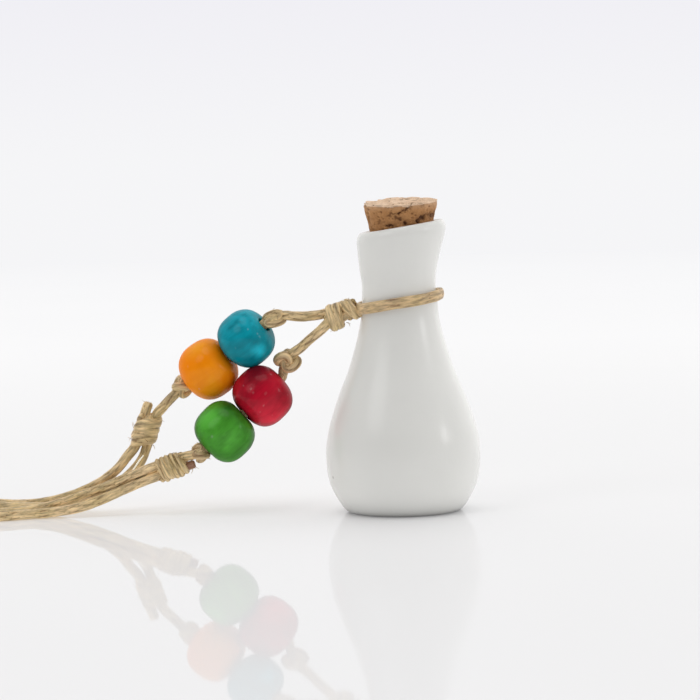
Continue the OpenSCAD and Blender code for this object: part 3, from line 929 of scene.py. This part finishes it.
class PENDANT_OT_stage(bpy.types.Operator):
    """Set up the camera, the glossy white table and the soft studio light"""

    bl_idname = "pendant.stage"
    bl_label = "Set up stage"

    def execute(self, context):
        settings = context.scene.pendant_stage
        lens = bpy.data.cameras.new("Camera")
        lens.sensor_width = 36
        lens.lens = settings.lens
        lens.clip_start = 0.01
        lens.clip_end = 50
        camera = bpy.data.objects.new("Camera", lens)
        context.scene.collection.objects.link(camera)
        level = Matrix.Rotation(math.pi / 2 - settings.tilt, 4, "X")
        rolled = level @ Matrix.Rotation(-settings.roll, 4, "Z")
        camera.matrix_world = Matrix.Translation(settings.eye) @ rolled
        context.scene.camera = camera
        self.table(settings)
        self.light(context, settings)
        return {"FINISHED"}

    def table(self, settings):
        """A wide glossy table top, uneven in its shine, that fades into the backdrop far away."""
        clear_selection()
        bpy.ops.mesh.primitive_grid_add(x_subdivisions=8, y_subdivisions=8, size=40, location=(0, 0, 0))
        table = bpy.context.object
        table.name = "table_top"
        made, tree, shader, here = material(
            "Table", 0.03, Base_Color=settings.table, IOR=1.072, Emission_Color=settings.backdrop,
            Emission_Strength=settings.glow,
        )
        feed(tree, shader, Roughness=ramp(tree, mottled(tree, here, 14)[0], 0, 1, 0.02, 0.045))
        away = node(tree, "VectorMath", operation="LENGTH", in_0=here)
        plain = node(tree, "Emission", in_Color=settings.backdrop)
        fade = node(tree, "MixShader", in_Fac=ramp(tree, away, 0.25, 1.0), in_1=shader, in_2=plain)
        # Painted shade: the light thrown up falls to a tenth within 8 mm of the middle, under the bottle's
        # foot, and is full beyond 12 mm
        strength = ramp(tree, away, 0.008, 0.012, 0.1, settings.bounce)
        thrown = node(tree, "Emission", in_Color=settings.tint, in_Strength=strength)
        bounced = node(tree, "LightPath").outputs["Is Diffuse Ray"]
        upward = node(tree, "MixShader", in_Fac=bounced, in_1=fade, in_2=thrown)
        feed(tree, tree.nodes["Material Output"], Surface=upward)
        table.data.materials.append(made)

    def light(self, context, settings):
        """White surroundings, dimmer towards the camera, with three windows."""
        context.scene.view_settings.view_transform = "Standard"
        world = bpy.data.worlds.new("Studio")
        context.scene.world = world
        world.use_nodes = True
        tree = world.node_tree
        tree.nodes.clear()
        here = node(tree, "TexCoord").outputs["Generated"]
        x, y, z = node(tree, "SeparateXYZ", in_Vector=here).outputs
        path = node(tree, "LightPath")
        shiny = node(
            tree, "Mix", data_type="FLOAT", in_Factor=path.outputs["Is Glossy Ray"], in_A=1,
            in_B=ramp(tree, y, 0.2, 0.8, settings.room, 0.9),
        )
        around = ramp(tree, y, -0.8, 0.6, settings.front, settings.back)
        strength = reckon(tree, "MULTIPLY", around, shiny)
        parts = [ramp(tree, z, 0.25, 1, 0, settings.top), ramp(tree, x, 0.1, 1, 0, settings.right)]
        for towards, wide, narrow, power in WINDOWS:
            aim = node(
                tree, "VectorMath", operation="DOT_PRODUCT", in_0=here, in_1=Vector(towards).normalized()
            )
            parts.append(ramp(tree, aim, wide, narrow, 0, power))
        for part in parts:
            strength = reckon(tree, "ADD", strength, part)
        lit = node(tree, "Background", in_Color=settings.tint, in_Strength=strength)
        sky = mix(tree, ramp(tree, z, 0, 0.055), settings.backdrop, settings.zenith)
        seen = node(tree, "Background", in_Color=sky)
        choose = node(tree, "MixShader", in_Fac=path.outputs["Is Camera Ray"], in_1=lit, in_2=seen)
        node(tree, "OutputWorld", in_Surface=choose)


class PENDANT_OT_cords(bpy.types.Operator):
    """Plait the loop round the neck, the beaded strands and the necklace cords"""

    bl_idname = "pendant.cords"
    bl_label = "Plait cords"

    def execute(self, context):
        settings = context.scene.pendant_cord
        finish = cord_material(settings)
        rest = np.array([0, 0, settings.diameter / 2])
        for name, route, raised, gap in (
            ("upper_strand", UPPER_ROUTE, 0, 0.1), ("lower_strand", LOWER_ROUTE, 0, 0.1),
            ("necklace_cord_one", ONE_ROUTE, 1, 0.15), ("necklace_cord_two", TWO_ROUTE, 1, 0.15),
        ):
            plait = Plait(settings)
            plait.tube(route_curve(route, gap * MM) + raised * rest, (0, 0, 1))
            dress(plait.piece("plaited_" + name), finish, "cord", name)
        self.neck_loop(settings, finish)
        self.fibre(settings)
        return {"FINISHED"}

    def neck_loop(self, settings, finish):
        """The cord pulled flat round the neck, rising to the right."""
        low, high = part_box("neck_loop")
        slant = math.radians(8.7)
        half_wide, half_thick = 0.79 * MM, 0.36 * MM
        reach = (high.y - low.y) / 2 - half_thick
        t = np.linspace(0, math.tau, 400)
        outward = np.stack([np.cos(t), np.sin(t), 0 * t], axis=1)
        rise = reach * np.cos(t) * math.sin(slant) + 0.05 * MM * np.sin(3 * t + 1)
        path = np.stack([reach * np.cos(t) * math.cos(slant), reach * np.sin(t), rise], axis=1)
        plait = Plait(settings, 0.3)
        plait.tube(
            path + np.array((low + high) / 2), outward, across=half_wide / plait.radius,
            thick=half_thick / plait.radius, pitch=1.6, sealed=0.2,
        )
        dress(plait.piece("plaited_neck_loop"), finish, "cord", "neck_loop")

    def fibre(self, settings):
        """One loose pale fibre that springs from the upper sliding knot, with a faint painted glow."""
        route = [(-37.4, 4.6, 8.3), (-38, 4.2, 7.6), (-38.7, 3.6, 6.6), (-39.5, 3, 5.55)]
        path = route_curve(route, 0.1 * MM)
        plait = Plait(settings, 0)
        taper = 0.15 - 0.07 * np.abs(np.linspace(-0.6, 1, len(path))) ** 2
        plait.tube(path, (0, 1, 0.2), sides=8, taper=taper)
        # Painted light: the fibre glows faintly in its own colour
        made, tree, shader, here = material(
            "Loose fibre", 0.45, Emission_Color=settings.fibre, Emission_Strength=0.3
        )
        blotch = mottled(tree, here, 300)[0]
        feed(tree, shader, Base_Color=mix(tree, blotch, scaled(settings.fibre, 0.85), settings.fibre))
        dress(plait.piece("loose_fibre"), made, "cord")


class PENDANT_OT_knots(bpy.types.Operator):
    """Wind the neck knot and the sliding knots, and tie the stopper knots"""

    bl_idname = "pendant.knots"
    bl_label = "Tie knots"

    def execute(self, context):
        settings = context.scene.pendant_cord
        finish = bpy.data.materials["Waxed cord"]

        neck, along = Plait(settings, 1.7), (-0.92, 0, -0.39)
        core(neck, (-8.6, 0, 28.2), along, 1.15, 4.6)
        wraps(neck, (-9.2, 0, 27.92), along, 1.46, 3.1, 2.4, lean=-0.3, seed=2)
        wraps(neck, (-6.95, 0, 28.9), along, 1.12, 2.7, 2.5, lean=0.25, seed=5)
        fuzz(neck, (-8.4, 0, 28.3), along, 1.75, 4, 16, 3)
        dress(neck.piece("wound_neck_knot"), finish, "cord", "neck_knot")

        upper = Plait(settings, 1.7)
        middle, along = (-37, 6, 11.9), (-0.31, 0, -0.95)
        core(upper, middle, along, 1.3, 4.6)
        wraps(upper, middle, along, 1.34, 5.3, 3.2, lean=-0.36, seed=7, start=2.2)
        fuzz(upper, middle, along, 1.9, 4.6, 18, 6)
        self.stub(upper, (-37.75, 6, 12.15), (0.31, 0, 0.95), 3.9, 1.02, 0.0)
        dress(upper.piece("wound_upper_sliding_knot"), finish, "cord", "upper_sliding_knot")

        lower = Plait(settings, 1.7)
        middle, along = (-33.2, 1.6, 6.9), (-0.96, 0, -0.28)
        core(lower, middle, along, 1.2, 4.3)
        wraps(lower, middle, along, 1.33, 4.9, 5.6, lean=0.16, seed=4, thick=0.78)
        fuzz(lower, middle, along, 1.85, 4.4, 16, 9)
        self.stub(lower, (-32.98, 1.6, 6.3), (0.96, 0, 0.28), 3.3, 0.88, 0.9)
        dress(lower.piece("wound_lower_sliding_knot"), finish, "cord", "lower_sliding_knot")

        for name, spot, along, size, roll, thick, tint in (
            ("blue_knot", (-17.95, 2, 27.7), (-0.9, 0.1, -0.42), (2.8, 2.9, 3.3), 0.4, 0.78, 0.12),
            ("orange_knot", (-31.6, 5.98, 18), (-0.8, 0.1, -0.59), (3.6, 3.3, 2.6), 1.3, 0.85, 0),
            ("red_knot", (-16.2, 2.8, 21.6), (-0.51, 0.31, -0.8), (4.2, 3.3, 3), 0.2, 0.95, 0.05),
            ("green_knot", (-28.9, 1.37, 8.75), (-0.88, 0.1, -0.45), (3.2, 2.9, 2.5), 0.9, 0.78, 0.2),
        ):
            knot = Plait(settings, 1.6)
            core(knot, spot, along, 1, 2)
            overhand(knot, spot, along, size, roll, thick, tint)
            fuzz(knot, spot, along, 1.3, 1.6, 8, len(name))
            dress(knot.piece("tied_" + name), finish, "cord", name)
        return {"FINISHED"}

    def stub(self, plait, start, along, reach, wide, sealed):
        """A cut cord end that stands out of a sliding knot, with a few frayed fibres."""
        axis = np.array(Vector(along).normalized())
        steps = np.linspace(0, 1, 42)
        path = np.array(start) * MM + steps[:, None] * reach * MM * axis
        taper = wide * (1 - 0.25 * np.maximum(steps - 0.93, 0) / 0.07)
        plait.tube(path, (0, 1, 0.1), taper=taper, sealed=sealed)
        tip = path[-4] / MM
        fuzz(plait, tip, along, 0.5, 0.5, 7, 21)


class PENDANT_OT_bottle(bpy.types.Operator):
    """Spin the glazed bottle and tilt its lip"""

    bl_idname = "pendant.bottle"
    bl_label = "Make bottle"

    def execute(self, context):
        settings = context.scene.pendant_bottle
        dress(make_bottle(settings), glaze_material(settings), "glaze", "bottle")
        return {"FINISHED"}


class PENDANT_OT_cork(bpy.types.Operator):
    """Cut the cork and open its pores"""

    bl_idname = "pendant.cork"
    bl_label = "Make cork"

    def execute(self, context):
        settings = context.scene.pendant_cork
        dress(make_cork(settings), cork_material(settings), "cork", "cork", body="cork")
        return {"FINISHED"}


class PENDANT_OT_beads(bpy.types.Operator):
    """Turn, stain and place the four wooden beads"""

    bl_idname = "pendant.beads"
    bl_label = "Make beads"

    def execute(self, context):
        settings = context.scene.pendant_bead
        for bead in BEADS:
            finish = bead_material(bead, getattr(settings, bead.name), settings)
            dress(make_bead(bead, settings), finish, bead.name + "_wood", bead.name + "_bead")
        return {"FINISHED"}


class PENDANT_PT_sidebar(bpy.types.Panel):
    """Lists the pendant's steps and settings"""

    bl_label = "Bottle pendant"
    bl_space_type = "VIEW_3D"
    bl_region_type = "UI"
    bl_category = "Pendant"

    def draw(self, context):
        for step in OPERATORS:
            self.layout.operator(step.bl_idname)
        for slot, settings in SETTINGS.items():
            box = self.layout.box()
            box.label(text=settings.__doc__)
            for name in settings.__annotations__:
                box.prop(getattr(context.scene, slot), name)


SETTINGS = {
    "pendant_stage": StageSettings,
    "pendant_cord": CordSettings,
    "pendant_bottle": BottleSettings,
    "pendant_cork": CorkSettings,
    "pendant_bead": BeadSettings,
}
OPERATORS = [
    PENDANT_OT_stage, PENDANT_OT_cords, PENDANT_OT_knots, PENDANT_OT_bottle, PENDANT_OT_cork,
    PENDANT_OT_beads,
]
CLASSES = [*SETTINGS.values(), *OPERATORS, PENDANT_PT_sidebar]


def register():
    """Registers the classes and attaches the settings to the scene."""
    for item in CLASSES:
        bpy.utils.register_class(item)
    for slot, settings in SETTINGS.items():
        setattr(bpy.types.Scene, slot, bpy.props.PointerProperty(type=settings))


def unregister():
    """Takes the settings and the classes away again."""
    for slot in SETTINGS:
        delattr(bpy.types.Scene, slot)
    for item in reversed(CLASSES):
        bpy.utils.unregister_class(item)


def main():
    """Builds the whole pendant."""
    register()
    bpy.ops.pendant.stage()
    bpy.ops.pendant.cords()
    bpy.ops.pendant.knots()
    bpy.ops.pendant.bottle()
    bpy.ops.pendant.cork()
    bpy.ops.pendant.beads()


if __name__ == "__main__":
    main()
